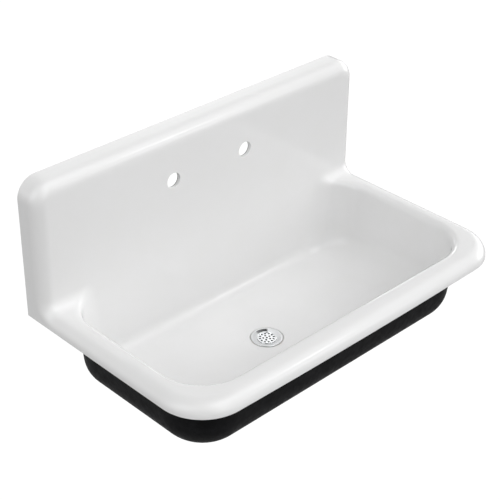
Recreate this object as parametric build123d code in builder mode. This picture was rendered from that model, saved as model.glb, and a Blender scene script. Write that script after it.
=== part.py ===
"""A wall-mounted utility sink: an enamelled iron casting with a tall backsplash, its wall hangers and its drain.

Sizes are in millimetres. +Z is up, +X is to the right of someone who stands at the sink, and -Y is towards
them. The wall is the plane Y = 0. The origin is on the wall, at the middle of the four wall screws.
"""

import os
from math import cos, radians, sin, tan

from build123d import *

os.makedirs("parts", exist_ok=True)

# Overall sizes of the white sink
sink_width = 895.0
sink_reach = 518.0  # from the wall to the middle of the front edge
front_crown = 5.5  # how far the front edge bows out at its middle
front_corner_radius = 100.0
rim_above_skirt = 30.0
splash_above_rim = 281.0
splash_thickness = 58.0
splash_corner_radius = 44.0
roll_radius = 28.0  # the large rounding along the rim, the sides and the top of the backsplash
cove_radius = 22.0  # the hollow rounding between the backsplash and what it meets
screws_above_rim = 195.0

# Basin
rim_land_side = 33.5  # from the outer side to where the inner edge starts to round
rim_land_front = 37.5
rim_inner_radius = 15.0
basin_depth = 176.0
basin_draft = 5.0  # degrees
basin_floor_radius = 58.0
basin_front_corner_radius = 99.0
basin_back_corner_radius = 94.0
back_corner_run = 6.0  # how far behind the backsplash's face the back corners' arcs aim
back_corner_shrink = 0.3  # how much the back corners tighten for each millimetre the sides draw in
floor_curve_steps = 6
wall_steps = 7

# Casting and enamel
coat = 1.2
iron_wall = 8.0
back_wall = 8.3  # the basin's back wall below the backsplash, with its enamel
under_back_radius = 33.0

# Faucet holes
faucet_hole_spacing = 203.2
faucet_hole_diameter = 35.0
faucet_hole_above_rim = 173.0

# Drain opening
drain_from_wall = 236.0
drain_hole_diameter = 50.0
dish_diameter = 270.0
dish_depth = 5.0
seat_diameter = 74.0
seat_depth = 3.4
boss_diameter = 92.0

# Wall hangers
hanger_spacing = 406.4
hanger_width = 84.0
hanger_plate = 7.0
hanger_screw_spacing = 38.0
hanger_screw_hole = 11.0
hanger_below_screw = 17.0
hanger_shelf_above_screw = 13.0
hanger_hook_reach = 36.0
hanger_hook_height = 26.0
hanger_bend_radius = 6.0
hanger_corner_radius = 9.0

# Lugs of the casting that hang on the hangers
lug_width = 64.0
lug_web = 12.0
lug_leg = 11.0
lug_leg_drop = 17.0
lug_clearance = 1.0
lug_edge_radius = 3.0

# Drain fitting
flange_diameter = 70.0
flange_thickness = 3.0
flange_land = 4.0  # flat band round the outside of the flange
flange_edge_radius = 1.2
flange_dish_diameter = 47.0
flange_dish_depth = 2.0
neck_clearance = 0.4  # between the flange's neck and the drain hole
neck_taper = 2.5
barrel_diameter = 44.6
barrel_bore = 35.0
barrel_length = 60.0
plate_clearance = 0.3
putty_thickness = 1.2
putty_width = 9.0
gasket_diameter = 76.0
gasket_thickness = 4.5
friction_washer_diameter = 72.0
friction_washer_thickness = 1.6
locknut_diameter = 58.0
locknut_height = 10.0
locknut_lug_reach = 4.0
locknut_lug_width = 9.0
locknut_lugs = 6
ring_clearance = 0.4  # between the friction washer and the barrel
fit_gap = 0.05  # between threads and what runs on them

# Strainer plate
plate_diameter = 43.6
plate_thickness = 1.6
plate_rim_width = 3.0
plate_rim_height = 1.4
plate_rim_radius = 0.6
strainer_hole = 4.7
outer_ring_diameter = 30.5
outer_ring_holes = 12
inner_ring_diameter = 15.8
inner_ring_holes = 5

# Tailpiece and its nut
tail_wall = 1.2
tail_length = 76.0
tail_lip_clearance = 0.8  # between the lip and the bore of the coupling nut
tail_lip_width = 2.45  # how far the lip stands out round the pipe
tail_lip_thickness = 2.0
tail_washer_thickness = 2.5
coupling_across_flats = 54.0
coupling_shoulder = 4.0
coupling_thread_overlap = 11.0
coupling_edge_radius = 1.5
coupling_bore_clearance = 1.0  # between the nut's shoulder and the tailpiece

# Levels and places that follow from the sizes
rim_top = -screws_above_rim
skirt_bottom = rim_top - rim_above_skirt
splash_top = rim_top + splash_above_rim
floor_level = rim_top - basin_depth
seat_level = floor_level - dish_depth - seat_depth
shell = coat + iron_wall
touch = 0.01


# Outline and block of the sink

def rim_outline(inset):
    """The sink seen from above, drawn in from its outer faces, at the foot of the skirt."""
    half = sink_width / 2 - inset
    front = -(sink_reach - inset)
    shoulder = front + front_crown
    with BuildSketch(Plane.XY.offset(skirt_bottom)) as outline:
        with BuildLine():
            Polyline((-half, shoulder), (-half, 0), (half, 0), (half, shoulder))
            ThreePointArc((half, shoulder), (0, front), (-half, shoulder))
        make_face()
        fillet(outline.vertices().group_by(Axis.Y)[0], front_corner_radius - inset)
    return outline.sketch


def rim_and_splash(inset):
    """Rim slab and backsplash block together, with sharp edges between them."""
    with BuildPart() as block:
        add(rim_outline(inset))
        extrude(amount=rim_above_skirt - inset)
        with BuildSketch(Plane.XZ) as face:
            with Locations((0, (skirt_bottom + splash_top - inset) / 2)):
                Rectangle(sink_width - 2 * inset, splash_top - inset - skirt_bottom)
            fillet(face.vertices().group_by(Axis.Y)[-1], splash_corner_radius - inset)
        extrude(amount=splash_thickness - inset)
    return block.part


def in_splash_plane(edge, inset):
    """True for an edge that lies in the plane of the backsplash's face."""
    spots = (edge @ 0, edge @ 0.5, edge @ 1)
    return all(abs(spot.Y + splash_thickness - inset) < touch for spot in spots)


def outer_edges(edges, inset, cove):
    """The one loop of outer edges: round the rim, up both sides of the backsplash and over its top."""
    border = rim_outline(inset).face().outer_wire()

    def on_border(edge):
        spot = edge @ 0.5
        return border.distance_to(Vertex(spot.X, spot.Y, skirt_bottom)) < touch

    def on_splash_front(edge):
        return in_splash_plane(edge, inset) and (edge @ 0.5).Z > rim_top - inset + cove + touch

    return [
        edge
        for edge in edges
        if (edge @ 0.5).Z > rim_top - inset - touch
        and (edge @ 0.5).Y < -touch
        and (on_border(edge) or on_splash_front(edge))
    ]


# Basin

def basin_outline(level, draw_in, grow, back):
    """The basin at one level: drawn in from its sides and front, grown outwards, with its back line at back."""
    half = sink_width / 2 - rim_land_side - rim_inner_radius + grow - draw_in
    front = -(sink_reach - front_crown - rim_land_front - rim_inner_radius + grow - draw_in)
    with BuildSketch(Plane.XY.offset(level)) as outline:
        with BuildLine():
            Polyline((-half, back), (half, back), (half, front), (-half, front), close=True)
        make_face()
        fillet(
            outline.vertices().group_by(Axis.Y)[-1],
            basin_back_corner_radius + grow - back_corner_shrink * draw_in,
        )
        fillet(outline.vertices().group_by(Axis.Y)[0], basin_front_corner_radius + grow - draw_in)
    return outline.sketch


def basin_form(grow, top, back, back_radius):
    """A solid of the basin's shape: tapered walls over a floor that curves up to meet them."""
    curve = basin_floor_radius + grow
    bottom = floor_level - grow
    spring = bottom + curve

    def taper(level):
        return (rim_top - level) * tan(radians(basin_draft))

    with BuildPart() as form:
        add(basin_outline(top, taper(top), grow, back))
        for step in range(wall_steps):
            level = rim_top + (spring - rim_top) * step / wall_steps
            add(basin_outline(level, taper(level), grow, back))
        for step in range(floor_curve_steps + 1):
            turn = radians(90 * step / floor_curve_steps)
            level = spring - curve * sin(turn)
            rise = min(level - bottom, back_radius)
            back_draw = back_radius - (back_radius**2 - (back_radius - rise) ** 2) ** 0.5
            draw_in = taper(level) + curve * (1 - cos(turn))
            add(basin_outline(level, draw_in, grow, back - back_draw))
        loft()
    return form.part


def drain_cut(grow):
    """The shallow dish and the seat for the drain flange, sunk below the basin's floor."""
    dish_floor = floor_level - dish_depth - grow
    with BuildPart() as cut:
        with BuildSketch(Plane.XZ.offset(drain_from_wall)):
            with BuildLine():
                Polyline(
                    (0, seat_level - grow),
                    (seat_diameter / 2 + grow, seat_level - grow),
                    (seat_diameter / 2 + grow, dish_floor),
                    (dish_diameter / 2, floor_level - grow),
                    (dish_diameter / 2, floor_level + touch),
                    (0, floor_level + touch),
                    close=True,
                )
            make_face()
        revolve(axis=Axis((0, -drain_from_wall, 0), (0, 0, 1)))
    return cut.part


def sink_form(inset):
    """The sink as a solid lump with its basin: the enamel's surface at inset 0, the iron's at one coat."""
    face = -(splash_thickness - inset)
    with BuildPart() as basin:
        add(basin_form(inset, rim_top + rim_above_skirt, face + back_corner_run, 0))
        split(bisect_by=Plane.XZ.offset(-face), keep=Keep.TOP)
    with BuildPart() as form:
        add(rim_and_splash(inset))
        with BuildSketch(Plane.XY.offset(skirt_bottom)):
            with Locations((0, -sink_reach / 2)):
                Rectangle(sink_width - 2 * shell, sink_reach - 2 * shell)
        extrude(amount=seat_level - 2 * shell - skirt_bottom)
        add(basin.part, mode=Mode.SUBTRACT)
        add(drain_cut(inset), mode=Mode.SUBTRACT)
        inner_rim = [
            edge
            for edge in form.edges().filter_by_position(Axis.Z, rim_top - inset - touch, rim_top - inset + touch)
            if abs((edge @ 0.5).X) < sink_width / 2 - rim_land_side
            and (edge @ 0.5).Y > -(sink_reach - front_crown - rim_land_front)
            and not in_splash_plane(edge, inset)
        ]
        fillet(inner_rim, rim_inner_radius - inset)
        hollow_chain = [
            edge
            for edge in form.edges()
            if in_splash_plane(edge, inset)
            and (edge @ 0.5).Z < rim_top - inset + touch
            and abs((edge @ 0.5).X) < sink_width / 2 - inset - touch
        ]
        fillet(hollow_chain, cove_radius)
        fillet(outer_edges(form.edges(), inset, cove_radius), roll_radius - inset)
    return form.part


def hollow_form():
    """The room behind the backsplash and under the rim, one shell's thickness inside the outer faces."""
    with BuildPart() as hollow:
        add(rim_and_splash(shell))
        inner_corner = [
            edge
            for edge in hollow.edges()
            if in_splash_plane(edge, shell) and abs((edge @ 0.5).Z - rim_top + shell) < touch
        ]
        fillet(inner_corner, cove_radius + shell)
        fillet(outer_edges(hollow.edges(), shell, cove_radius + shell), roll_radius - shell)
    return hollow.part


iron_form = sink_form(coat)
white_form = sink_form(0)

with BuildPart() as faucet_holes:
    with BuildSketch(Plane.XZ):
        with Locations(
            (-faucet_hole_spacing / 2, rim_top + faucet_hole_above_rim),
            (faucet_hole_spacing / 2, rim_top + faucet_hole_above_rim),
        ):
            Circle(faucet_hole_diameter / 2)
    extrude(amount=splash_thickness)

with BuildPart() as drain_hole:
    with BuildSketch(Plane.XY.offset(seat_level + seat_depth)):
        with Locations((0, -drain_from_wall)):
            Circle(drain_hole_diameter / 2)
    extrude(amount=-(seat_depth + 2 * shell))

# What the mould leaves empty behind and below the casting
with BuildPart() as under_basin:
    corner_back = back_corner_run + shell - splash_thickness
    add(basin_form(shell, rim_top + cove_radius + shell, corner_back, under_back_radius))
    split(bisect_by=Plane.XZ.offset(splash_thickness - back_wall), keep=Keep.TOP)
    with BuildSketch(Plane.XY.offset(seat_level - shell)):
        with Locations((0, -drain_from_wall)):
            Circle(boss_diameter / 2)
    extrude(amount=seat_level - floor_level + 2 * shell)

with BuildPart() as empty_room:
    add(hollow_form())
    with BuildSketch(Plane.XY.offset(skirt_bottom)):
        with Locations((0, -sink_reach / 2)):
            Rectangle(sink_width, sink_reach)
    extrude(amount=seat_level - 3 * shell - skirt_bottom)
    add(under_basin.part, mode=Mode.SUBTRACT)

# Hanger levels
hook_shelf = hanger_screw_spacing / 2 + hanger_shelf_above_screw
hook_top = hook_shelf + hanger_hook_height
hook_back = -(hanger_hook_reach - hanger_plate)

with BuildPart() as hanging_lugs:
    for side in (-1, 1):
        with BuildSketch(Plane.YZ.offset(side * hanger_spacing / 2 - lug_width / 2)) as lug_side:
            leg_front = hook_back + lug_clearance
            with BuildLine():
                Polyline(
                    (-(splash_thickness - shell) - touch, hook_top),
                    (leg_front, hook_top),
                    (leg_front, hook_top - lug_leg_drop),
                    (leg_front + lug_leg, hook_top - lug_leg_drop),
                    (leg_front + lug_leg, hook_top + lug_web),
                    (-(splash_thickness - shell) - touch, hook_top + lug_web),
                    close=True,
                )
            make_face()
            fillet(lug_side.vertices().group_by(Axis.Y)[0], lug_edge_radius)
        extrude(amount=lug_width)

with BuildPart() as sink_casting:
    add(iron_form)
    add(empty_room.part, mode=Mode.SUBTRACT)
    add(faucet_holes.part, mode=Mode.SUBTRACT)
    add(drain_hole.part, mode=Mode.SUBTRACT)
    add(hanging_lugs.part)
sink_casting.part.label = "sink_casting"
export_step(sink_casting.part, "parts/sink_casting.step")

with BuildPart() as enamel_coat:
    add(white_form)
    add(iron_form, mode=Mode.SUBTRACT)
    add(faucet_holes.part, mode=Mode.SUBTRACT)
    add(drain_hole.part, mode=Mode.SUBTRACT)
enamel_coat.part.label = "enamel_coat"
export_step(enamel_coat.part, "parts/enamel_coat.step")


# Wall hangers: a plate on the wall, a shelf bent forwards and a lip bent up again

def hanger_form(middle):
    """One hanger, with its middle at the given distance along X."""
    plate_bottom = -(hanger_screw_spacing / 2 + hanger_below_screw)
    shelf_top = hook_shelf + hanger_plate
    with BuildPart() as hanger:
        with BuildSketch(Plane.YZ.offset(middle - hanger_width / 2)) as side:
            with BuildLine():
                Polyline(
                    (0, plate_bottom),
                    (0, shelf_top),
                    (hook_back, shelf_top),
                    (hook_back, hook_top),
                    (-hanger_hook_reach, hook_top),
                    (-hanger_hook_reach, hook_shelf),
                    (-hanger_plate, hook_shelf),
                    (-hanger_plate, plate_bottom),
                    close=True,
                )
            make_face()
            bends_inside = [
                corner
                for corner in side.vertices()
                if abs(corner.X - hook_back) + abs(corner.Y - shelf_top) < touch
                or abs(corner.X + hanger_plate) + abs(corner.Y - hook_shelf) < touch
            ]
            fillet(bends_inside, hanger_bend_radius)
            bends_outside = [
                corner
                for corner in side.vertices()
                if abs(corner.X) + abs(corner.Y - shelf_top) < touch
                or abs(corner.X + hanger_hook_reach) + abs(corner.Y - hook_shelf) < touch
            ]
            fillet(bends_outside, hanger_bend_radius + hanger_plate)
        extrude(amount=hanger_width)
        fillet(
            hanger.edges().filter_by(Axis.Y).group_by(Axis.Z)[0],
            hanger_corner_radius,
        )
        with BuildSketch(Plane.XZ):
            with Locations((middle, hanger_screw_spacing / 2), (middle, -hanger_screw_spacing / 2)):
                Circle(hanger_screw_hole / 2)
        extrude(amount=hanger_plate, mode=Mode.SUBTRACT)
    return hanger.part


with BuildPart() as wall_hanger_left:
    add(hanger_form(-hanger_spacing / 2))
wall_hanger_left.part.label = "wall_hanger_left"
export_step(wall_hanger_left.part, "parts/wall_hanger_left.step")

with BuildPart() as wall_hanger_right:
    add(hanger_form(hanger_spacing / 2))
wall_hanger_right.part.label = "wall_hanger_right"
export_step(wall_hanger_right.part, "parts/wall_hanger_right.step")


# Drain fitting, stacked from the seat in the basin's floor

def drain_plane(level):
    """A level plane with its origin on the drain's axis."""
    return Plane((0, -drain_from_wall, level))


drain_axis = Axis((0, -drain_from_wall, 0), (0, 0, 1))
drain_section = Plane.XZ.offset(drain_from_wall)
flange_bottom = seat_level + putty_thickness
flange_top = flange_bottom + flange_thickness
dish_ring = flange_top - flange_dish_depth
plate_ledge = dish_ring - plate_thickness
barrel_bottom = flange_bottom - barrel_length
boss_bottom = seat_level - shell
washer_top = boss_bottom - gasket_thickness
locknut_top = washer_top - friction_washer_thickness

with BuildPart() as drain_body:
    neck = drain_hole_diameter / 2 - neck_clearance
    pocket = plate_diameter / 2 + plate_clearance
    with BuildSketch(drain_section) as drain_profile:
        with BuildLine():
            Polyline(
                (barrel_bore / 2, plate_ledge),
                (pocket, plate_ledge),
                (pocket, dish_ring),
                (flange_dish_diameter / 2, dish_ring),
                (flange_diameter / 2 - flange_land, flange_top),
                (flange_diameter / 2, flange_top),
                (flange_diameter / 2, flange_bottom),
                (neck, flange_bottom),
                (neck, plate_ledge),
                (barrel_diameter / 2, plate_ledge - neck_taper),
                (barrel_diameter / 2, barrel_bottom),
                (barrel_bore / 2, barrel_bottom),
                close=True,
            )
        make_face()
        flange_rim = drain_profile.vertices().group_by(Axis.X)[-1].sort_by(Axis.Y)[-1]
        fillet(flange_rim, flange_edge_radius)
    revolve(axis=drain_axis)
drain_body.part.label = "drain_body"
export_step(drain_body.part, "parts/drain_body.step")

with BuildPart() as putty_ring:
    with BuildSketch(drain_plane(seat_level)):
        Circle(flange_diameter / 2)
        Circle(flange_diameter / 2 - putty_width, mode=Mode.SUBTRACT)
    extrude(amount=putty_thickness)
putty_ring.part.label = "putty_ring"
export_step(putty_ring.part, "parts/putty_ring.step")

with BuildPart() as rubber_gasket:
    with BuildSketch(drain_plane(washer_top)):
        Circle(gasket_diameter / 2)
        Circle(barrel_diameter / 2 + fit_gap, mode=Mode.SUBTRACT)
    extrude(amount=gasket_thickness)
rubber_gasket.part.label = "rubber_gasket"
export_step(rubber_gasket.part, "parts/rubber_gasket.step")

with BuildPart() as friction_washer:
    with BuildSketch(drain_plane(locknut_top)):
        Circle(friction_washer_diameter / 2)
        Circle(barrel_diameter / 2 + ring_clearance, mode=Mode.SUBTRACT)
    extrude(amount=friction_washer_thickness)
friction_washer.part.label = "friction_washer"
export_step(friction_washer.part, "parts/friction_washer.step")

with BuildPart() as locknut:
    with BuildSketch(drain_plane(locknut_top)):
        Circle(locknut_diameter / 2)
        with PolarLocations(locknut_diameter / 2, locknut_lugs):
            Rectangle(2 * locknut_lug_reach, locknut_lug_width)
        Circle(barrel_diameter / 2 + fit_gap, mode=Mode.SUBTRACT)
    extrude(amount=-locknut_height)
locknut.part.label = "locknut"
export_step(locknut.part, "parts/locknut.step")

with BuildPart() as strainer_plate:
    with BuildSketch(drain_plane(plate_ledge)):
        Circle(plate_diameter / 2)
    extrude(amount=plate_thickness)
    with BuildSketch(drain_plane(dish_ring)):
        Circle(plate_diameter / 2)
        Circle(plate_diameter / 2 - plate_rim_width, mode=Mode.SUBTRACT)
    extrude(amount=plate_rim_height)
    fillet(
        strainer_plate.edges().filter_by(GeomType.CIRCLE).group_by(Axis.Z)[-1],
        plate_rim_radius,
    )
    with BuildSketch(drain_plane(plate_ledge)):
        Circle(strainer_hole / 2)
        with PolarLocations(inner_ring_diameter / 2, inner_ring_holes):
            Circle(strainer_hole / 2)
        with PolarLocations(outer_ring_diameter / 2, outer_ring_holes):
            Circle(strainer_hole / 2)
    extrude(amount=plate_thickness, mode=Mode.SUBTRACT)
strainer_plate.part.label = "strainer_plate"
export_step(strainer_plate.part, "parts/strainer_plate.step")

# Tailpiece, washer and coupling nut under the barrel
tail_top = barrel_bottom - tail_washer_thickness
tail_lip_diameter = barrel_diameter - 2 * tail_lip_clearance
tail_diameter = tail_lip_diameter - 2 * tail_lip_width
shoulder_top = tail_top - tail_lip_thickness
nut_top = barrel_bottom + coupling_thread_overlap

with BuildPart() as tailpiece_washer:
    with BuildSketch(drain_plane(tail_top)):
        Circle(tail_lip_diameter / 2)
        Circle(tail_diameter / 2 - tail_wall, mode=Mode.SUBTRACT)
    extrude(amount=tail_washer_thickness)
tailpiece_washer.part.label = "tailpiece_washer"
export_step(tailpiece_washer.part, "parts/tailpiece_washer.step")

with BuildPart() as tailpiece:
    with BuildSketch(drain_plane(tail_top)):
        Circle(tail_lip_diameter / 2)
    extrude(amount=-tail_lip_thickness)
    with BuildSketch(drain_plane(tail_top)):
        Circle(tail_diameter / 2)
    extrude(amount=-tail_length)
    with BuildSketch(drain_plane(tail_top)):
        Circle(tail_diameter / 2 - tail_wall)
    extrude(amount=-tail_length, mode=Mode.SUBTRACT)
tailpiece.part.label = "tailpiece"
export_step(tailpiece.part, "parts/tailpiece.step")

with BuildPart() as coupling_nut:
    with BuildSketch(drain_plane(shoulder_top - coupling_shoulder)):
        RegularPolygon(coupling_across_flats / 2, 6, major_radius=False)
    extrude(amount=nut_top - shoulder_top + coupling_shoulder)
    fillet(coupling_nut.edges().filter_by(Axis.Z), coupling_edge_radius)
    with BuildSketch(drain_plane(shoulder_top)):
        Circle(barrel_diameter / 2 + fit_gap)
    extrude(amount=nut_top - shoulder_top, mode=Mode.SUBTRACT)
    with BuildSketch(drain_plane(shoulder_top)):
        Circle(tail_diameter / 2 + coupling_bore_clearance)
    extrude(amount=-coupling_shoulder, mode=Mode.SUBTRACT)
coupling_nut.part.label = "coupling_nut"
export_step(coupling_nut.part, "parts/coupling_nut.step")
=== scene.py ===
# %% [markdown]
# A wall-mounted utility sink, dressed for a picture.
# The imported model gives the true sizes. This notebook adds what the eye looks for: the soft, deep gloss of
# enamel, the grain of painted iron, and metal that mirrors the room.
# All lengths are in metres. The wall is the plane y = 0, and z points up.

import math

import bmesh
import bpy
import numpy as np
from mathutils import Matrix, Vector


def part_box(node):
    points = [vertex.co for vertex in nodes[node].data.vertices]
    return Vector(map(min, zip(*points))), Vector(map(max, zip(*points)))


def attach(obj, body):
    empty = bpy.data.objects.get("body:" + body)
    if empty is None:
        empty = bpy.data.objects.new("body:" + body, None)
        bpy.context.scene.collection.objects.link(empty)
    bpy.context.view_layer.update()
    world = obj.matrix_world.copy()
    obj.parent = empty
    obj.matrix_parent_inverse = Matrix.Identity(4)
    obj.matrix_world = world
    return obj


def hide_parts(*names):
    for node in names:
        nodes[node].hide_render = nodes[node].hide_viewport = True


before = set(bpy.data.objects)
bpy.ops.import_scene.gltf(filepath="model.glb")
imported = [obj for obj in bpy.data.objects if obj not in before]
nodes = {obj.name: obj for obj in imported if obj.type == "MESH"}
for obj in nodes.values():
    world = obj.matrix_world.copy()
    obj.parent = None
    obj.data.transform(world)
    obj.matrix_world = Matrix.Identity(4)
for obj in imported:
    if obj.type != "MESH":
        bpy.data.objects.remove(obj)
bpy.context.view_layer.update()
print("nodes:", ", ".join(sorted(nodes)))

# %% [markdown]
# The camera comes first, because everything is judged through it. It stands to the left of the sink and
# looks down at it. A long lens keeps the rim's edges nearly parallel, as product pictures do. Its place and
# aim are given as a turn about the vertical, a height angle and a distance from a point near the sink's
# middle.

# %% Camera
CAMERA_TURN = math.radians(-44.27)
CAMERA_HEIGHT = math.radians(31.93)
CAMERA_ROLL = math.radians(0.585)
CAMERA_DISTANCE = 2.725
CAMERA_TARGET = Vector((-0.0772, -0.260, -0.1095))
LENS = 97.16


def camera_axes(turn, height, roll):
    """Right, up and back of a camera that looks level along +Y at zero turn."""
    back = Vector((math.sin(turn) * math.cos(height), -math.cos(turn) * math.cos(height), math.sin(height)))
    right = (-back).cross(Vector((0, 0, 1))).normalized()
    up = right.cross(-back)
    rolled_right = right * math.cos(roll) + up * math.sin(roll)
    rolled_up = up * math.cos(roll) - right * math.sin(roll)
    return rolled_right, rolled_up, back


right, up, back = camera_axes(CAMERA_TURN, CAMERA_HEIGHT, CAMERA_ROLL)
camera_data = bpy.data.cameras.new("photo_camera")
camera_data.lens = LENS
camera_data.sensor_width = 36.0
camera_data.sensor_fit = "HORIZONTAL"
camera = bpy.data.objects.new("photo_camera", camera_data)
bpy.context.scene.collection.objects.link(camera)
camera.matrix_world = Matrix((right, up, back)).transposed().to_4x4()
camera.location = CAMERA_TARGET + back * CAMERA_DISTANCE
bpy.context.scene.camera = camera
print("camera at", tuple(round(v, 3) for v in camera.location))

# %% [markdown]
# White enamel on a white ground is the hardest thing to light, because only small differences of grey show
# its shape. The default view in Blender squeezes bright tones together, so the plain Standard view is used.
# The ground is a large pale sheet, well below the sink, that glows like a light table. Seen by the camera
# it is plain white. The light that it sends up to the sink is set apart, at about a third, or the underside
# and the foot of the skirt would wash out.

# %% Ground and view
GROUND_LEVEL = -1.05
GROUND_HALF = 8.0
GROUND_SEEN = 1.05
GROUND_LIGHT = 0.34

bpy.context.scene.view_settings.view_transform = "Standard"
sheet = [(GROUND_HALF * x, GROUND_HALF * y, GROUND_LEVEL) for x, y in ((-1, -1), (1, -1), (1, 1), (-1, 1))]
ground_mesh = bpy.data.meshes.new("ground")
ground_mesh.from_pydata(sheet, [], [(0, 1, 2, 3)])
ground = bpy.data.objects.new("ground", ground_mesh)
bpy.context.scene.collection.objects.link(ground)


def by_ray(tree, kind, seen, unseen):
    """A shader that is one brightness to the camera and another to everything else."""
    shaders = []
    for brightness in (unseen, seen):
        shader = tree.nodes.new(kind)
        shader.inputs["Color"].default_value = (1, 1, 1, 1)
        if isinstance(brightness, float):
            shader.inputs["Strength"].default_value = brightness
        else:
            tree.links.new(brightness, shader.inputs["Strength"])
        shaders.append(shader)
    chooser = tree.nodes.new("ShaderNodeMixShader")
    tree.links.new(tree.nodes.new("ShaderNodeLightPath").outputs["Is Camera Ray"], chooser.inputs["Fac"])
    tree.links.new(shaders[0].outputs[0], chooser.inputs[1])
    tree.links.new(shaders[1].outputs[0], chooser.inputs[2])
    return chooser.outputs[0]


ground_glow = bpy.data.materials.new("ground_glow")
ground_glow.use_nodes = True
ground_tree = ground_glow.node_tree
ground_surface = by_ray(ground_tree, "ShaderNodeEmission", GROUND_SEEN, GROUND_LIGHT)
ground_tree.links.new(ground_surface, ground_tree.nodes["Material Output"].inputs["Surface"])
ground_tree.nodes.remove(ground_tree.nodes["Principled BSDF"])
ground.data.materials.append(ground_glow)
print("ground at", GROUND_LEVEL, "m")

# %% [markdown]
# The studio is a tent lit through its walls, so there are bright patches and dim ones, and no hard edge
# between them. Low patches to the right and behind rim the edges with light, higher ones in front and to
# the left fill the big faces. The tent is dim behind the camera, and that dimness shows as the grey band
# along each rolled edge that turns towards the viewer. Three narrow streaks draw the thin bright lines that
# glass shows where it bends: in the hollow under the backsplash, at the back of the floor, along the rolls.
# Area lights could do this too, but patches painted on the world light without noise. Each patch is
# brightest in one direction and falls off by a power of the cosine, so a high power makes a small patch.
# The table gives each patch its turn about the vertical and its height, both in degrees, its power and its
# brightness.

# %% The tent
PATCHES = {
    "front_high": (0, 58, 16, 2.3),
    "front_right_high": (45, 58, 16, 1.8),
    "front": (0, 32, 18, 1.9),
    "front_low": (0, 8, 20, 1.6),
    "front_left": (-60, 32, 18, 0.7),
    "left": (-90, 32, 18, 2.4),
    "left_low": (-105, 8, 20, 1.8),
    "right": (90, 32, 18, 1.0),
    "right_low": (75, 8, 20, 4.2),
    "right_low_behind": (105, 8, 20, 2.0),
    "behind": (180, 8, 20, 5.6),
    "behind_left": (-135, 8, 20, 0.9),
    "behind_right": (135, 32, 18, 0.7),
    "streak_front_right": (38, 17, 150, 2.5),
    "streak_right_high": (46, 36, 700, 8.0),
    "streak_behind_right": (141, 17, 150, 5.0),
}

world = bpy.data.worlds.new("studio")
bpy.context.scene.world = world
world.use_nodes = True
tent_nodes = world.node_tree.nodes
tent_links = world.node_tree.links


def tent_math(operation, first, second):
    """A math node between two sockets or numbers."""
    node = tent_nodes.new("ShaderNodeMath")
    node.operation = operation
    for socket, value in zip(node.inputs, (first, second)):
        if isinstance(value, (int, float)):
            socket.default_value = value
        else:
            tent_links.new(value, socket)
    return node.outputs[0]


direction = tent_nodes.new("ShaderNodeTexCoord").outputs["Generated"]
tent = 0.0
for turn, height, power, brightness in PATCHES.values():
    turn, height = math.radians(turn), math.radians(height)
    middle = tent_nodes.new("ShaderNodeVectorMath")
    middle.operation = "DOT_PRODUCT"
    middle.inputs[1].default_value = (
        math.sin(turn) * math.cos(height), -math.cos(turn) * math.cos(height), math.sin(height)
    )
    tent_links.new(direction, middle.inputs[0])
    facing = tent_math("MAXIMUM", middle.outputs["Value"], 0.0)
    tent = tent_math("ADD", tent, tent_math("MULTIPLY", tent_math("POWER", facing, power), brightness))
tent_nodes.remove(tent_nodes["Background"])
tent_surface = by_ray(world.node_tree, "ShaderNodeBackground", GROUND_SEEN, tent)
tent_links.new(tent_surface, tent_nodes["World Output"].inputs["Surface"])
print("tent patches:", ", ".join(PATCHES))

# %% [markdown]
# The white enamel is the piece that the eye rests on. On the real sink it is glass, melted onto the
# casting, so every edge is round and every inner corner is filled. A box with a bevel can't give that: the
# rim, the backsplash and the basin meet in two corners where three roundings run into each other. One way
# out is a distance field. A field gives, for any point in space, how far it is from the surface: negative
# inside the material and positive in the air. Two fields can be joined with a rounding of any true radius,
# so the shape is written down as it is on a drawing: this edge 28 mm, that hollow 22 mm. Once the field is
# right, a mesh is laid on the places where it is zero.

# %% Two ways to join fields
def round_edge(a, b, radius, lean=0.0):
    """What is inside both a and b, with the edge where they meet rounded off.

    lean is the sine of the angle by which the edge is blunter than a square one.
    """
    p = np.maximum(a + radius, 0)
    q = np.maximum(b + radius, 0)
    arc = np.sqrt(np.maximum(p * p + q * q - 2 * lean * p * q, 0) / (1 - lean * lean))
    return np.minimum(np.maximum(a, b), -radius) + arc


def round_hollow(a, b, radius):
    """What is inside a or b, with the hollow where they meet filled round."""
    arc = np.hypot(np.maximum(radius - a, 0), np.maximum(radius - b, 0))
    return np.maximum(np.minimum(a, b), radius) - arc


drawn_back = float(round_edge(0.0, 0.0, 0.028))
print("a square corner, rounded by 28 mm, draws back by", round(1000 * drawn_back, 1), "mm")

# %% [markdown]
# The sink's sizes, as on the drawing. The outline is a wide rectangle with round front corners, whose front
# bows out a little. The backsplash has an outline of its own, seen from the front. The larger of the two
# fields is the side of the whole sink. The skin of the mesh stays a tenth of a millimetre inside the true
# size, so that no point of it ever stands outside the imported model.

# %% Sizes and outline
HALF_WIDTH = 0.4475
FRONT = -0.5125
FRONT_CROWN = 0.0055
FRONT_CORNER = 0.100
RIM_TOP = -0.195
SKIRT_FOOT = -0.225
SPLASH_TOP = 0.086
SPLASH_FACE = -0.058
SPLASH_CORNER = 0.044
ROLL = 0.028
COVE = 0.022
SKIN = 0.00012
OPEN_END = 2.0  # far beyond the sink, for a rectangle that has no end on that side


def rounded_rectangle(across, along, half, low, high, low_radius):
    """Distance to a rectangle whose low corners are round."""
    side = np.abs(across) - half + low_radius
    end = np.where(along < (low + high) / 2, low - along, along - high) + low_radius
    corner = np.hypot(np.maximum(side, 0), np.maximum(end, 0))
    return np.minimum(np.maximum(side, end), 0) + corner - low_radius


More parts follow.
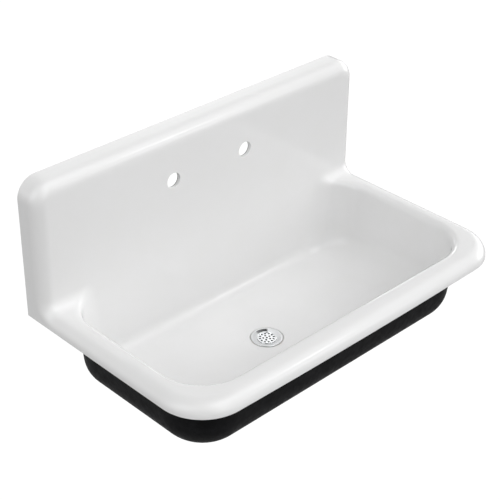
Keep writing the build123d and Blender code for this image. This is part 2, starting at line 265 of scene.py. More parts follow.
def outer_side(x, y, z):
    """Distance outwards from the sides, the front and the top edge of the sink."""
    bowed = np.minimum(np.abs(x), HALF_WIDTH - FRONT_CORNER)
    bow = FRONT_CROWN * (1 - (bowed / HALF_WIDTH) ** 2)
    plan = rounded_rectangle(x, y + bow, HALF_WIDTH, FRONT, OPEN_END, FRONT_CORNER)
    elevation = rounded_rectangle(x, -z, HALF_WIDTH, -SPLASH_TOP, OPEN_END, SPLASH_CORNER)
    return np.maximum(plan, elevation)


print("the sink is", round(2000 * HALF_WIDTH), "mm wide; its front bows", round(1000 * FRONT_CROWN, 1), "mm")

# %% [markdown]
# The basin is a field too. Its sides lean in by five degrees, its floor curves up to meet them, and its
# back corners tighten towards the floor. For any point in plan, `draw` says by how much the basin's outline
# would have to shrink to pass through that point. Where `draw` is zero is the basin's edge at the rim.

# %% The basin's plan and floor
BASIN_HALF = 0.399
BASIN_FRONT = -0.460
BASIN_FRONT_CORNER = 0.099
BASIN_BACK = -0.052
BACK_CORNER = 0.094
BACK_TIGHTENING = 0.3
DRAFT_ANGLE = math.radians(5)
DRAFT = math.tan(DRAFT_ANGLE)
FLOOR = -0.371
FLOOR_CURVE = 0.058
DRAIN = Vector((0.0, -0.236))
DISH_RADIUS = 0.135
DISH_DEPTH = 0.005
SEAT_RADIUS = 0.037
DISH_BLEND = 0.12


def draw(x, y):
    """How far the basin's outline shrinks before it passes through a point.

    A back corner's radius shrinks along with the outline, by less, so there the answer solves a quadratic.
    """
    straight = -rounded_rectangle(x, y, BASIN_HALF, BASIN_FRONT, OPEN_END, BASIN_FRONT_CORNER)
    keep = 1 - BACK_TIGHTENING
    u = np.abs(x) - (BASIN_HALF - BACK_CORNER)
    w = y - (BASIN_BACK - BACK_CORNER)
    a = keep**2
    b = 2 * keep * u - 2 * BACK_TIGHTENING * w + 2 * BACK_TIGHTENING * BACK_CORNER
    c = u**2 + w**2 - BACK_CORNER**2
    corner = (-b + np.sqrt(np.maximum(b * b - 4 * a * c, 0))) / (2 * a)
    in_corner = w > BACK_TIGHTENING * corner
    return np.where(in_corner, np.minimum(corner, straight), straight)


def floor_height(x, y):
    """The basin's floor, with the shallow dish that leads the water to the drain."""
    out = np.hypot(x - DRAIN.x, y - DRAIN.y)
    way_in = (DISH_RADIUS - out) / (DISH_RADIUS - SEAT_RADIUS)
    eased = np.where(way_in < DISH_BLEND, (way_in + DISH_BLEND) ** 2 / (4 * DISH_BLEND), way_in)
    return FLOOR - DISH_DEPTH * np.clip(np.where(way_in < -DISH_BLEND, 0, eased), 0, 1)


print("the floor is", round(1000 * (RIM_TOP - float(floor_height(0.2, -0.3)))), "mm below the rim")

# %% [markdown]
# A rounding only comes out with its true radius if both fields that it joins measure true distances. The
# basin's doesn't quite: its corners tighten, so it grows too fast in some places and too slowly in others.
# Dividing a field by its own steepness puts that right near the surface. The steepness is kept between two
# bounds, because where two parts of a field meet in a crease the measured slope can be wild.

# %% The basin and the whole sink
INNER_EDGE = 0.015
FLATTEST = 0.3
STEEPEST = 1.1


def basin_raw(x, y, z):
    """The basin's leaning sides and its floor, joined by the floor's curve."""
    return round_edge((RIM_TOP - z) * DRAFT - draw(x, y), floor_height(x, y) - z, FLOOR_CURVE)


def slope(field, x, y, z, step=0.0004):
    """The direction in which a field grows fastest, and how fast."""
    gx = (field(x + step, y, z) - field(x - step, y, z)) / (2 * step)
    gy = (field(x, y + step, z) - field(x, y - step, z)) / (2 * step)
    gz = (field(x, y, z + step) - field(x, y, z - step)) / (2 * step)
    return gx, gy, gz


def basin(x, y, z):
    """The basin's field, brought back to true distances near its surface."""
    gx, gy, gz = slope(basin_raw, x, y, z)
    return basin_raw(x, y, z) / np.clip(np.sqrt(gx**2 + gy**2 + gz**2), FLATTEST, STEEPEST)


def enamel_field(x, y, z):
    """The whole sink: the rim's slab less the basin, joined to the backsplash, cut to the outline."""
    slab = round_edge(z - RIM_TOP, -basin(x, y, z), INNER_EDGE, math.sin(DRAFT_ANGLE))
    body = round_hollow(slab, SPLASH_FACE - y, COVE)
    return round_edge(body, outer_side(x, y, z), ROLL) + SKIN


rim_miss = float(enamel_field(0.415, -0.3, RIM_TOP))
print("the rim at x = 0.415, y = -0.3 is", round(1000 * rim_miss, 2), "mm off")

# %% [markdown]
# Now the mesh. Space is cut into small cubes. Each cube that the surface passes through gets one point, and
# each edge of the lattice that it crosses gets one four-sided face. Blender's Remesh modifier lays a
# lattice over a shape in the same way, but it needs a mesh to begin with.

# %% A mesh on the zero surface
CELL = 0.005
LATTICE_LOW = (-0.462, -0.530, -0.390)
LATTICE_HIGH = (0.462, 0.014, 0.098)


def surface_net(field, low, high, cell):
    """Points and four-sided faces near the places where a field is zero."""
    axes = [np.arange(a, b + cell, cell) for a, b in zip(low, high)]
    inside = field(*np.meshgrid(*axes, indexing="ij")) < 0
    wide, deep, tall = (count - 1 for count in inside.shape)
    filled = sum(
        inside[i : i + wide, j : j + deep, k : k + tall].astype(np.int8)
        for i in (0, 1)
        for j in (0, 1)
        for k in (0, 1)
    )
    crossed = (filled > 0) & (filled < 8)
    number = np.full(crossed.shape, -1)
    number[crossed] = np.arange(crossed.sum())
    points = np.argwhere(crossed) * cell + np.array(low) + cell / 2
    faces = []
    for axis in range(3):
        before = np.take(inside, range(inside.shape[axis] - 1), axis)
        after = np.take(inside, range(1, inside.shape[axis]), axis)
        spot = np.argwhere(before != after)
        first, second = [a for a in range(3) if a != axis]
        spot = spot[(spot[:, first] > 0) & (spot[:, second] > 0)]
        spot = spot[(spot[:, first] < crossed.shape[first]) & (spot[:, second] < crossed.shape[second])]
        ring = []
        for da, db in ((-1, -1), (0, -1), (0, 0), (-1, 0)):
            cube = spot.copy()
            cube[:, first] += da
            cube[:, second] += db
            ring.append(number[tuple(cube.T)])
        quads = np.stack(ring, 1)
        outward = before[tuple(spot.T)] == (axis != 1)
        quads[~outward] = quads[~outward][:, ::-1]
        faces.append(quads)
    return points, np.concatenate(faces)


points, faces = surface_net(enamel_field, LATTICE_LOW, LATTICE_HIGH, CELL)
print(len(points), "points,", len(faces), "faces")

# %% [markdown]
# Fresh from the lattice the surface is all steps. Each point slides down the field's slope until it lies on
# the surface, and then moves sideways to the middle of its neighbours, so that the faces stay square. The
# two take turns. Blender's Smooth modifier would also shrink the shape; here the field pulls it back each
# time.

# %% Settle and even out
EVENING_ROUNDS = 4
LEAST_SLOPE = 0.05


def settle(field, points, rounds=4):
    """Moves points along the slope until the field there is zero."""
    for _ in range(rounds):
        x, y, z = points.T
        value = field(x, y, z)
        g = np.stack(slope(field, x, y, z), 1)
        points = points - g * (value / np.maximum((g**2).sum(1), LEAST_SLOPE))[:, None]
    return points


def even_out(points, faces, share=0.5):
    """Moves each point part of the way to the middle of its neighbours."""
    total = np.zeros_like(points)
    count = np.zeros(len(points))
    for a, b in ((0, 1), (1, 2), (2, 3), (3, 0)):
        for p, q in ((a, b), (b, a)):
            np.add.at(total, faces[:, p], points[faces[:, q]])
            np.add.at(count, faces[:, p], 1)
    middle = total / np.maximum(count, 1)[:, None]
    return points + share * (middle - points)


for _ in range(EVENING_ROUNDS):
    points = settle(enamel_field, even_out(points, faces), 2)
points = settle(enamel_field, points)
furthest = float(np.abs(enamel_field(*points.T)).max())
print("furthest point from the surface:", round(1e6 * furthest), "micrometres")

# %% [markdown]
# The lattice stops in the air, so the mesh still has walls that run on past the sink. The skirt ends 30 mm
# below the rim and everything stops at the wall. A bisect along a plane, as in Blender's own Bisect tool,
# cuts faces cleanly and drops what lies beyond. Only the outer walls are cut, never the basin. The faces
# are handed over in a dict, which keeps their order, so every run numbers the new points the same way.

# %% Trim at the skirt's foot and at the wall
WALL_GAP = 0.0002
WALL_BAND = 0.03
SIDE_BAND = 0.036

enamel_mesh = bmesh.new()
enamel_points = [enamel_mesh.verts.new(point) for point in points]
for face in faces:
    enamel_mesh.faces.new([enamel_points[corner] for corner in face])


def trim(mesh, near, spot, outward):
    """Cuts the faces for which near is true along a plane, and drops what lies outward of it."""
    middles = np.array([face.calc_center_median() for face in mesh.faces])
    chosen = near(*middles.T)
    cut_faces = [face for face, take in zip(mesh.faces, chosen) if take]
    geometry = dict.fromkeys(cut_faces)
    for face in cut_faces:
        geometry.update(dict.fromkeys((*face.edges, *face.verts)))
    bmesh.ops.bisect_plane(
        mesh, geom=list(geometry), dist=1e-6, plane_co=spot, plane_no=outward, clear_outer=True
    )
    loose = [vert for vert in mesh.verts if not vert.link_faces]
    bmesh.ops.delete(mesh, geom=loose, context="VERTS")


trim(enamel_mesh, lambda x, y, z: outer_side(x, y, z) > -SIDE_BAND, (0, 0, SKIRT_FOOT), (0, 0, -1))
trim(enamel_mesh, lambda x, y, z: y > -WALL_BAND, (0, -WALL_GAP, 0), (0, 1, 0))
print(len(enamel_mesh.faces), "faces after trimming")

# %% [markdown]
# The two faucet holes and the drain are round, but the lattice is square. Round each of them a square
# window of faces is taken out, and the window is filled with rings that turn from a square into a circle
# and then roll over the edge. That is how a modeller by hand puts a round hole in a grid, and the glaze
# keeps its soft lip.

# %% Opening and filling a window
LIP = 0.0012
LIP_STEPS = 5


def open_window(mesh, flat, reach):
    """Takes out a square of faces, and gives the points of the window's edge in order.

    flat(point) gives a point's two distances from the window's middle.
    """
    inside = [vert for vert in mesh.verts if max(map(abs, flat(vert.co))) < reach]
    ring = {other for vert in inside for face in vert.link_faces for other in face.verts} - set(inside)
    bmesh.ops.delete(mesh, geom=inside, context="VERTS")
    loose = [vert for vert in ring if not vert.link_faces]
    bmesh.ops.delete(mesh, geom=loose, context="VERTS")
    walk = [min(ring - set(loose), key=lambda vert: math.atan2(*flat(vert.co)))]
    start = Vector(flat(walk[0].co))
    while True:
        ahead = [edge.other_vert(walk[-1]) for edge in walk[-1].link_edges if edge.is_boundary]
        ahead = [vert for vert in ahead if vert not in walk[-2:]]
        if len(walk) == 1:
            ahead = [max(ahead, key=lambda vert: -start.cross(Vector(flat(vert.co))))]
        if ahead[0] is walk[0]:
            return walk
        walk.append(ahead[0])


def fill_window(mesh, edge, flat, rings):
    """Fills a window with rings.

    Each ring is a share, how round it is, and a function that places an angle.
    """
    before = edge
    angles = sorted(math.atan2(*flat(vert.co)) for vert in edge)
    for share, place in rings:
        targets = [place(angle) for angle in angles]
        spots = [Vector(vert.co).lerp(target, share) for vert, target in zip(edge, targets)]
        after = [mesh.verts.new(spot) for spot in spots]
        for i in range(len(after)):
            j = (i + 1) % len(after)
            mesh.faces.new((before[i], before[j], after[j], after[i]))
        before = after


def lip_arc(start, end):
    """Angles from start to end, in even steps."""
    return [math.radians(start + (end - start) * i / LIP_STEPS) for i in range(LIP_STEPS + 1)]


print("a lip takes", len(lip_arc(0, 90)), "rings")

# %% [markdown]
# The faucet holes stand 8 inches apart, the usual spacing of two taps with one spout. The glaze runs on
# through the wall in them, as it does when a casting is dusted with powdered glass while red hot, so the
# edge that is seen inside each hole is light, not iron.

# %% Faucet holes
FAUCET_X = 0.1016
FAUCET_Z = -0.022
FAUCET_RADIUS = 0.0172
FAUCET_DEPTH = 0.0075
FAUCET_WINDOW = 0.027
FAUCET_COLLARS = ((0.5, 0.0045), (1, 0.003))
NEAR_SPLASH = -0.05
ELSEWHERE = (1, 1)


def faucet_flat(side):
    """Measures across the backsplash from the middle of one faucet hole."""
    def flat(point):
        return (point[0] - side * FAUCET_X, point[2] - FAUCET_Z) if point[1] < NEAR_SPLASH else ELSEWHERE
    return flat


def faucet_ring(side, radius, depth):
    """Places an angle on a circle round a faucet hole, depth behind the glazed face."""
    def place(angle):
        return Vector((side * FAUCET_X + radius * math.sin(angle),
                       SPLASH_FACE + SKIN + depth,
                       FAUCET_Z + radius * math.cos(angle)))
    return place


for side in (-1, 1):
    edge = open_window(enamel_mesh, faucet_flat(side), FAUCET_WINDOW)
    rings = [(share, faucet_ring(side, FAUCET_RADIUS + wider, 0)) for share, wider in FAUCET_COLLARS]
    for turn in lip_arc(0, 90):
        radius = FAUCET_RADIUS + LIP - LIP * math.sin(turn)
        rings.append((1, faucet_ring(side, radius, LIP - LIP * math.cos(turn))))
    rings.append((1, faucet_ring(side, FAUCET_RADIUS, FAUCET_DEPTH)))
    fill_window(enamel_mesh, edge, faucet_flat(side), rings)
    print("faucet window has", len(edge), "points on its edge")

# %% [markdown]
# The drain sits in a round step at the bottom of the dish. The glaze rolls over the step's edge, down to
# the flat seat that the flange lies on, and ends at the drain hole, where the flange hides it.

# %% Drain seat
DRAIN_WINDOW = 0.053
DRAIN_COLLARS = ((0.35, 0.046), (0.75, 0.043), (1, 0.0410))
SEAT = -0.3794
DRAIN_HOLE = 0.0252
NEAR_FLOOR = -0.365


def drain_flat(point):
    """Measures along the floor from the middle of the drain."""
    return (point[0] - DRAIN.x, point[1] - DRAIN.y) if point[2] < NEAR_FLOOR else ELSEWHERE


def drain_ring(radius, height=None):
    """Places an angle on a circle round the drain, on the floor or at a height of its own."""
    def place(angle):
        x = DRAIN.x + radius * math.sin(angle)
        y = DRAIN.y + radius * math.cos(angle)
        return Vector((x, y, float(floor_height(x, y)) + SKIN if height is None else height))
    return place


edge = open_window(enamel_mesh, drain_flat, DRAIN_WINDOW)
rings = [(share, drain_ring(radius)) for share, radius in DRAIN_COLLARS]
lip_top = float(floor_height(DRAIN.x, DRAIN.y + SEAT_RADIUS)) + SKIN
for turn in lip_arc(0, 90):
    radius = SEAT_RADIUS + LIP - LIP * math.sin(turn)
    rings.append((1, drain_ring(radius, lip_top - LIP + LIP * math.cos(turn))))
for turn in lip_arc(0, 90):
    radius = SEAT_RADIUS - LIP + LIP * math.cos(turn)
    rings.append((1, drain_ring(radius, SEAT + SKIN + LIP - LIP * math.sin(turn))))
rings.append((1, drain_ring(DRAIN_HOLE, SEAT + SKIN)))
fill_window(enamel_mesh, edge, drain_flat, rings)
print("drain window has", len(edge), "points on its edge")

# %% [markdown]
# The glaze is about a millimetre thick, and its cut edge shows along the skirt's foot and round the holes.
# Thickness is given to the finished skin, as the Solidify modifier does: every point gets a twin, a little
# way in along its normal, and the cut edges are closed with a narrow band. The outer face stays exact.

# %% Thickness and smooth shading
GLAZE = 0.0009
SHARP_ANGLE = math.radians(38)


def thicken(mesh, depth):
    """Gives an open skin a second side, depth inwards, and closes its cut edges."""
    mesh.normal_update()
    outer_faces = list(mesh.faces)
    cut_corners = [edge.link_loops[0] for edge in mesh.edges if edge.is_boundary]
    twin = {vert: mesh.verts.new(vert.co - vert.normal * depth) for vert in list(mesh.verts)}
    for face in outer_faces:
        mesh.faces.new([twin[vert] for vert in reversed(face.verts)])
    for corner in cut_corners:
        a, b = corner.vert, corner.link_loop_next.vert
        mesh.faces.new((b, a, twin[a], twin[b]))


def new_piece(name, mesh, sharp=SHARP_ANGLE):
    """Turns a bmesh into an object with smooth faces that stay crisp along sharp edges."""
    data = bpy.data.meshes.new(name)
    mesh.to_mesh(data)
    mesh.free()
    data.polygons.foreach_set("use_smooth", [True] * len(data.polygons))
    data.set_sharp_from_angle(angle=sharp)
    piece = bpy.data.objects.new(name, data)
    bpy.context.scene.collection.objects.link(piece)
    return piece


bmesh.ops.recalc_face_normals(enamel_mesh, faces=enamel_mesh.faces)
middles = [(face, face.calc_center_median()) for face in enamel_mesh.faces]
splash_faces = [face for face, middle in middles if abs(middle.x) < FAUCET_X / 2 and middle.z > 0]
if sum(face.normal.y for face in splash_faces) > 0:
    bmesh.ops.reverse_faces(enamel_mesh, faces=enamel_mesh.faces)
thicken(enamel_mesh, GLAZE)
enamel_skin = new_piece("enamel_skin", enamel_mesh)
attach(enamel_skin, "sink")
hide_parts("enamel_coat")
print("enamel skin:", len(enamel_skin.data.polygons), "faces")

# %% [markdown]
# Materials come next. Every finish here starts from the same shader and gets its grain from noise, measured
# in real millimetres, so a 1 mm grain stays 1 mm from any side. Three small helpers do the work: one makes
# the colour wander between two tones, one makes the gloss uneven, and one raises a fine relief.

# %% Helpers for finishes
def new_finish(name, color, metallic, roughness):
    """A material with one even colour, metalness and roughness to begin with."""
    material = bpy.data.materials.new(name)
    material.use_nodes = True
    shader = material.node_tree.nodes["Principled BSDF"]
    shader.inputs["Base Color"].default_value = (*color, 1)
    shader.inputs["Metallic"].default_value = metallic
    shader.inputs["Roughness"].default_value = roughness
    return material


def grain(material, size, detail=3.0, stretch=(1, 1, 1)):
    """A cloudy pattern whose lumps are about size metres across, stretched along the axes."""
    tree = material.node_tree
    place = tree.nodes.new("ShaderNodeTexCoord")
    scale = tree.nodes.new("ShaderNodeMapping")
    scale.inputs["Scale"].default_value = tuple(1 / (size * along) for along in stretch)
    noise = tree.nodes.new("ShaderNodeTexNoise")
    noise.inputs["Scale"].default_value = 1.0
    noise.inputs["Detail"].default_value = detail
    tree.links.new(place.outputs["Object"], scale.inputs["Vector"])
    tree.links.new(scale.outputs[0], noise.inputs["Vector"])
    return noise.outputs["Fac"]


def wander_color(material, pattern, dark, light, low=0.35, high=0.65):
    """Lets the colour wander from dark to light as the pattern rises from low to high."""
    tree = material.node_tree
    ramp = tree.nodes.new("ShaderNodeValToRGB")
    ramp.color_ramp.elements[0].position = low
    ramp.color_ramp.elements[0].color = (*dark, 1)
    ramp.color_ramp.elements[1].position = high
    ramp.color_ramp.elements[1].color = (*light, 1)
    tree.links.new(pattern, ramp.inputs["Fac"])
    tree.links.new(ramp.outputs["Color"], tree.nodes["Principled BSDF"].inputs["Base Color"])


def wander_gloss(material, pattern, smooth, rough):
    """Lets the roughness wander between two values."""
    tree = material.node_tree
    span = tree.nodes.new("ShaderNodeMapRange")
    span.inputs["From Min"].default_value = 0.3
    span.inputs["From Max"].default_value = 0.7
    span.inputs["To Min"].default_value = smooth
    span.inputs["To Max"].default_value = rough
    tree.links.new(pattern, span.inputs["Value"])
    tree.links.new(span.outputs[0], tree.nodes["Principled BSDF"].inputs["Roughness"])


def relief(material, pattern, height):
    """Raises the pattern as relief, height metres from its lowest to its highest."""
    tree = material.node_tree
    bump = tree.nodes.new("ShaderNodeBump")
    bump.inputs["Strength"].default_value = 1.0
    bump.inputs["Distance"].default_value = height
    shader = tree.nodes["Principled BSDF"]
    before = shader.inputs["Normal"].links
    if before:
        tree.links.new(before[0].from_socket, bump.inputs["Normal"])
    tree.links.new(pattern, bump.inputs["Height"])
    tree.links.new(bump.outputs["Normal"], shader.inputs["Normal"])


def paint(material, *names):
    """Gives CAD nodes a finish."""
    for name in names:
        nodes[name].data.materials.clear()
        nodes[name].data.materials.append(material)
    print(material.name, "on", ", ".join(names))


print("helpers ready: new_finish, grain, wander_color, wander_gloss, relief, paint")

# %% [markdown]
# Enamel is glass, fired on in two or three coats. It mirrors like glass, but it ran a little before it set,
# so its surface swells and dips by a few hundredths of a millimetre over a thumb's width. That faint
# unevenness is what bends reflections on a real sink.

# %% Enamel
enamel = new_finish("glazed_enamel", (0.80, 0.80, 0.80), 0.0, 0.07)
enamel.node_tree.nodes["Principled BSDF"].inputs["IOR"].default_value = 1.52
wander_color(enamel, grain(enamel, 0.060), (0.797, 0.797, 0.795), (0.803, 0.803, 0.804))
wander_gloss(enamel, grain(enamel, 0.025), 0.060, 0.080)
relief(enamel, grain(enamel, 0.022, detail=1.0), 0.000006)
enamel_skin.data.materials.append(enamel)
print(enamel.name, "on", enamel_skin.name)

# %% [markdown]
# The underside is bare casting with one coat of black asphalt paint. Cast iron keeps the print of the sand
# it was poured in: lumps of a millimetre or two, with a finer grit on top. The paint is satin, duller where
# it soaked in.

# %% Painted iron
iron = new_finish("black_cast_iron", (0.008, 0.008, 0.009), 0.0, 0.42)
iron.node_tree.nodes["Principled BSDF"].inputs["Specular IOR Level"].default_value = 0.10
wander_color(iron, grain(iron, 0.030), (0.003, 0.003, 0.0035), (0.008, 0.008, 0.009))
wander_gloss(iron, grain(iron, 0.012), 0.34, 0.52)
relief(iron, grain(iron, 0.0055, detail=2.0), 0.00022)
relief(iron, grain(iron, 0.0012, detail=2.0), 0.00005)
paint(iron, "sink_casting")

# %% [markdown]
# The drain is polished brass under chrome plate. Chrome is a near-perfect mirror, so most of its look comes
# from what stands around it. A trace of fine scratches keeps it from looking like a computer's idea of
# metal.

# %% Chrome
chrome = new_finish("chrome_plate", (0.78, 0.79, 0.80), 1.0, 0.06)
wander_gloss(chrome, grain(chrome, 0.004), 0.04, 0.09)
relief(chrome, grain(chrome, 0.0016, detail=2.0, stretch=(1, 6, 6)), 0.000004)
paint(chrome, "strainer_plate")

# %% [markdown]
# Plating doesn't reach far down a pipe, so inside, the brass is bare. Its colour here is painted near black,
# darker than bare brass, as painted shade: a drain looks black through its strainer because the pipe below
# it lies in shade.

# %% Bore with painted shade
# Painted shade: this near-black colour stands for the shade down the drain, not for the brass's own tone.
painted_shade_bore = new_finish("painted_shade_bore", (0.030, 0.026, 0.020), 0.6, 0.70)
wander_color(painted_shade_bore, grain(painted_shade_bore, 0.005), (0.018, 0.015, 0.012), (0.045, 0.038, 0.028))
relief(painted_shade_bore, grain(painted_shade_bore, 0.0012), 0.00003)
print(painted_shade_bore.name, "waits for the bores")

# %% [markdown]
# The two hangers are galvanized steel. Molten zinc freezes in flat crystals, so the surface is a patchwork
# of slightly different greys. A Voronoi pattern gives each crystal its own tone.

# %% Galvanized steel
CRYSTALS_PER_METRE = 140.0

zinc = new_finish("galvanized_steel", (0.50, 0.51, 0.52), 1.0, 0.38)
crystals = zinc.node_tree.nodes.new("ShaderNodeTexVoronoi")
crystals.inputs["Scale"].default_value = CRYSTALS_PER_METRE
crystal_place = zinc.node_tree.nodes.new("ShaderNodeTexCoord")
zinc.node_tree.links.new(crystal_place.outputs["Object"], crystals.inputs["Vector"])
crystal_tone = zinc.node_tree.nodes.new("ShaderNodeSeparateColor")
zinc.node_tree.links.new(crystals.outputs["Color"], crystal_tone.inputs[0])
wander_color(zinc, crystal_tone.outputs[0], (0.42, 0.43, 0.45), (0.58, 0.59, 0.60), 0.0, 1.0)
wander_gloss(zinc, crystal_tone.outputs[1], 0.30, 0.46)
relief(zinc, grain(zinc, 0.002), 0.00002)
paint(zinc, "wall_hanger_left", "wall_hanger_right")

# %% [markdown]
# The locknut is raw cast brass, dull and a little grainy. Below the sink there is also rubber, a fibre
# ring, a soft plastic washer and a bead of plumber's putty. They are small, but each has its own surface.

# %% Brass, rubber, fibre, plastic and putty
brass = new_finish("cast_brass", (0.62, 0.46, 0.20), 1.0, 0.36)
wander_color(brass, grain(brass, 0.006), (0.54, 0.39, 0.16), (0.68, 0.52, 0.25))
wander_gloss(brass, grain(brass, 0.003), 0.28, 0.46)
relief(brass, grain(brass, 0.0009), 0.00003)

rubber = new_finish("black_rubber", (0.022, 0.022, 0.022), 0.0, 0.62)
wander_color(rubber, grain(rubber, 0.004), (0.017, 0.017, 0.017), (0.030, 0.030, 0.029))
relief(rubber, grain(rubber, 0.0007), 0.00002)

fibre = new_finish("pressed_fibre", (0.30, 0.11, 0.06), 0.0, 0.80)
wander_color(fibre, grain(fibre, 0.0025, stretch=(4, 1, 1)), (0.24, 0.08, 0.045), (0.37, 0.15, 0.085))
relief(fibre, grain(fibre, 0.0008, stretch=(4, 1, 1)), 0.00003)

plastic = new_finish("soft_plastic", (0.72, 0.72, 0.68), 0.0, 0.45)
wander_color(plastic, grain(plastic, 0.005), (0.69, 0.69, 0.64), (0.76, 0.76, 0.72))
wander_gloss(plastic, grain(plastic, 0.002), 0.38, 0.52)

putty = new_finish("plumbers_putty", (0.50, 0.44, 0.33), 0.0, 0.72)
wander_color(putty, grain(putty, 0.004), (0.44, 0.38, 0.28), (0.56, 0.50, 0.38))
relief(putty, grain(putty, 0.003), 0.0001)
print("small pieces:", ", ".join(finish.name for finish in (brass, rubber, fibre, plastic, putty)))

# %% [markdown]
# The drain fitting is turned metal, and turned parts are made here as on a lathe: half of the section is
# drawn as an outline, its corners are rounded, and it is swung round the drain's axis. The CAD solids have
# the same sizes but sharp edges. Real edges are broken by a file or a mould, and each one catches a line of
# light. Sizes are in millimetres, as on a workshop drawing, and turned into metres on the way.

# %% The lathe
MM = 0.001
TURNS = 96
FINE_TURNS = 288
TURNED_SHARP = math.radians(50)


def round_profile(corners, steps=4):
    """A closed section with rounded corners. A corner is a radius, a height and its rounding."""
    outline = []
    for i, (radius, level, rounding) in enumerate(corners):
        here = Vector((radius, level))
        before = (Vector(corners[i - 1][:2]) - here).normalized()
        after = (Vector(corners[(i + 1) % len(corners)][:2]) - here).normalized()
        if not rounding:
            outline.append(here)
            continue
        half = before.angle(after) / 2
        middle = here + (before + after).normalized() * (rounding / math.sin(half))
        start = here + before * (rounding / math.tan(half)) - middle
        end = here + after * (rounding / math.tan(half)) - middle
        for step in range(steps + 1):
            outline.append(middle + start.lerp(end, step / steps).normalized() * rounding)
    return outline


def turned_piece(name, outline, node, reshape=None, turns=TURNS):
    """Swings a section round the drain's axis, and lets the piece stand for a CAD node.

    reshape(radius, level, angle) may give a radius of its own, for flats, lugs and threads.
    """
    mesh = bmesh.new()
    rings = []
    for radius, level in outline:
        ring = []
        for turn in range(turns):
            angle = 2 * math.pi * turn / turns
            out = reshape(radius, level, angle) if reshape else radius
            across, along = MM * out * math.cos(angle), MM * out * math.sin(angle)
            ring.append(mesh.verts.new((across + DRAIN.x, along + DRAIN.y, MM * level)))
        rings.append(ring)
    for i, ring in enumerate(rings):
        after = rings[(i + 1) % len(rings)]
        for turn in range(turns):
            ahead = (turn + 1) % turns
            mesh.faces.new((ring[turn], ring[ahead], after[ahead], after[turn]))
    bmesh.ops.recalc_face_normals(mesh, faces=mesh.faces)
    piece = new_piece(name, mesh, TURNED_SHARP)
    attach(piece, "sink")
    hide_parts(node)
    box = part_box(node)
    print(name, "stands", round(1000 * (box[1][2] - box[0][2]), 1), "mm high, as the", node)
    return piece


def paint_shade_inside(piece, radius, below):
    """Gives the faces inside a bore, below a level, bare brass with painted shade, near black."""
    piece.data.materials.append(painted_shade_bore)
    for face in piece.data.polygons:
        out = (Vector(face.center[:2]) - DRAIN).length
        if out < MM * radius and face.center.z < MM * below:
            face.material_index = 1


print("a turned piece has", TURNS, "sides, or", FINE_TURNS, "where it has lugs or flats")

# %% [markdown]
# The drain body is the chrome ring that shows in the basin, with a long threaded barrel below it. The
# thread is a real one: the radius falls and rises once for each 2.2 mm of height, and starts a little later
# as the angle goes round, which makes a helix.

# %% Drain body
BARREL = 22.3
THREAD_PITCH = 2.2
THREAD_DEPTH = 0.9
THREAD_TOP = -384.0
THREAD_FOOT = -437.4
THREAD_STEP = 0.275


def thread(radius, level, angle):
    """Cuts a groove that winds round the barrel."""
    if abs(radius - BARREL) > 1e-6 or not THREAD_FOOT <= level <= THREAD_TOP:
        return radius
    phase = (level / THREAD_PITCH + angle / (2 * math.pi)) % 1
    run_out = min(1, (level - THREAD_FOOT) / THREAD_PITCH, (THREAD_TOP - level) / THREAD_PITCH)
    return radius - THREAD_DEPTH * max(0.0, run_out) * (1 - abs(2 * phase - 1))


flange = round_profile(
    [
        (17.5, -438.2, 0.4), (17.5, -378.8, 0.4), (22.1, -378.8, 0), (22.1, -377.2, 0.25),
        (23.5, -377.2, 1.2), (31.0, -375.2, 3.0), (35.0, -375.2, 1.2), (35.0, -378.2, 0.3),
        (24.6, -378.2, 0), (24.6, -378.8, 0), (BARREL, -381.3, 0),
    ]
)
threads = int((THREAD_TOP - THREAD_FOOT) / THREAD_STEP)
flange += [
    Vector((BARREL, THREAD_TOP + (THREAD_FOOT - THREAD_TOP) * i / threads)) for i in range(threads + 1)
]
flange.append(Vector((BARREL, -438.2)))
drain_fitting = turned_piece("drain_fitting", flange, "drain_body", thread)
drain_fitting.data.materials.append(chrome)
# The fitting's bore below the flange gets painted shade.
paint_shade_inside(drain_fitting, 17.6, -379.2)

# %% [markdown]
# The locknut pulls the fitting down onto the basin. It is a flat brass ring with six lugs for a spanner or
# a screwdriver and a mallet. The lugs rise from the round with soft roots, as cast metal does.

# %% Locknut
NUT_RADIUS = 29.0
LUGS_FROM = 27.0
LUG_REACH = 4.0
LUG_HALF_ANGLE = math.radians(8.4)
LUG_ROOT = math.radians(2.4)


def lugs(radius, level, angle):
    """Pushes the outside of the nut out at six lugs."""
    if radius < LUGS_FROM:
        return radius
    sector = (angle + math.pi / 6) % (math.pi / 3) - math.pi / 6
    rise = min(1.0, max(0.0, (LUG_HALF_ANGLE + LUG_ROOT - abs(sector)) / (2 * LUG_ROOT)))
    return radius + LUG_REACH * rise * rise * (3 - 2 * rise)


locknut_section = round_profile(
    [(22.35, -404.7, 0.5), (22.35, -394.7, 0.5), (NUT_RADIUS, -394.7, 0.9), (NUT_RADIUS, -404.7, 0.9)]
)
brass_locknut = turned_piece("brass_locknut", locknut_section, "locknut", lugs, FINE_TURNS)
brass_locknut.data.materials.append(brass)

# %% [markdown]
# The coupling nut is a hexagon with its two ends turned to a cone, so that the corners don't cut the hand.
# Where a cone meets a flat it leaves a curved line, the mark of every real nut.

# %% Coupling nut
FLAT_REACH = 27.0
FLATS_FROM = 26.5
CORNER_REACH = 30.9
CONE_HEIGHT = 2.6
CONE_SPREAD = 1.45
NUT_FOOT = -446.7
NUT_SHOULDER = -442.7
NUT_HEAD = -427.2
CONE_STEPS = 10


def flats(radius, level, angle):
    """Cuts six flats into the outside of the nut. FIRST_FLAT turns them as the CAD nut's stand."""
    if radius < FLATS_FROM:
        return radius
    sector = (angle + FIRST_FLAT) % (math.pi / 3) - math.pi / 6
    return min(radius, FLAT_REACH / math.cos(sector))


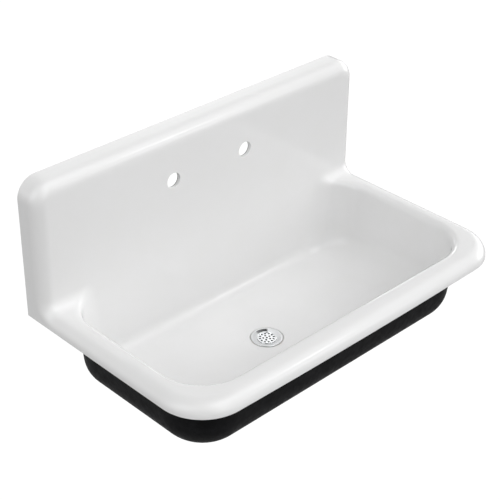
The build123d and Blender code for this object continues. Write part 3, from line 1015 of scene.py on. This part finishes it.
hexagon_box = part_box("coupling_nut")
hexagon_wide = hexagon_box[1][0] - hexagon_box[0][0] > hexagon_box[1][1] - hexagon_box[0][1]
FIRST_FLAT = 0.0 if hexagon_wide else math.pi / 6
cone = [
    (CORNER_REACH - CONE_HEIGHT * CONE_SPREAD * (1 - i / CONE_STEPS), CONE_HEIGHT * i / CONE_STEPS)
    for i in range(CONE_STEPS + 1)
]
coupling_section = [Vector((radius, NUT_FOOT + rise)) for radius, rise in cone]
coupling_section += [Vector((radius, NUT_HEAD - rise)) for radius, rise in reversed(cone)]
coupling_section += round_profile(
    [
        (24.0, NUT_HEAD, 0), (22.35, NUT_HEAD, 0.4), (22.35, NUT_SHOULDER, 0),
        (20.05, NUT_SHOULDER, 0), (20.05, NUT_FOOT, 0.4), (24.0, NUT_FOOT, 0),
    ]
)
slip_nut = turned_piece("slip_nut", coupling_section, "coupling_nut", flats, FINE_TURNS)
slip_nut.data.materials.append(chrome)

# %% [markdown]
# The rest of the stack is plain rings and a tube. Rubber bulges a little where it is squeezed, putty oozes
# to a round edge, and the tube's end is smoothed so that it doesn't cut the next pipe's seal. Each row
# gives the CAD node that the piece stands for, its finish, and its section's corners.

# %% Rings and tube
PLAIN_RINGS = {
    "putty_bead": (
        "putty_ring", putty,
        [(26.0, -379.4, 0.5), (26.0, -378.2, 0.5), (35.0, -378.2, 0.55), (35.0, -379.4, 0.55)],
    ),
    "gasket_ring": (
        "rubber_gasket", rubber,
        [(22.35, -393.1, 0.5), (22.35, -388.6, 0.5), (38.0, -388.6, 1.6), (38.0, -393.1, 1.6)],
    ),
    "fibre_ring": (
        "friction_washer", fibre,
        [(22.7, -394.7, 0.2), (22.7, -393.1, 0.2), (36.0, -393.1, 0.3), (36.0, -394.7, 0.3)],
    ),
    "tail_seal": (
        "tailpiece_washer", plastic,
        [(17.85, -440.7, 0.4), (17.85, -438.2, 0.4), (21.5, -438.2, 0.8), (21.5, -440.7, 0.4)],
    ),
    "tail_tube": (
        "tailpiece", chrome,
        [
            (17.85, -516.7, 0.5), (17.85, -440.7, 0.5), (21.5, -440.7, 0.6),
            (21.5, -442.7, 0.6), (19.05, -442.7, 0.8), (19.05, -516.7, 0.5),
        ],
    ),
}
for name, (node, finish, corners) in PLAIN_RINGS.items():
    ring = turned_piece(name, round_profile(corners), node)
    ring.data.materials.append(finish)
    if name == "tail_tube":
        # The tube's bore gets painted shade too.
        paint_shade_inside(ring, 17.95, -441.5)
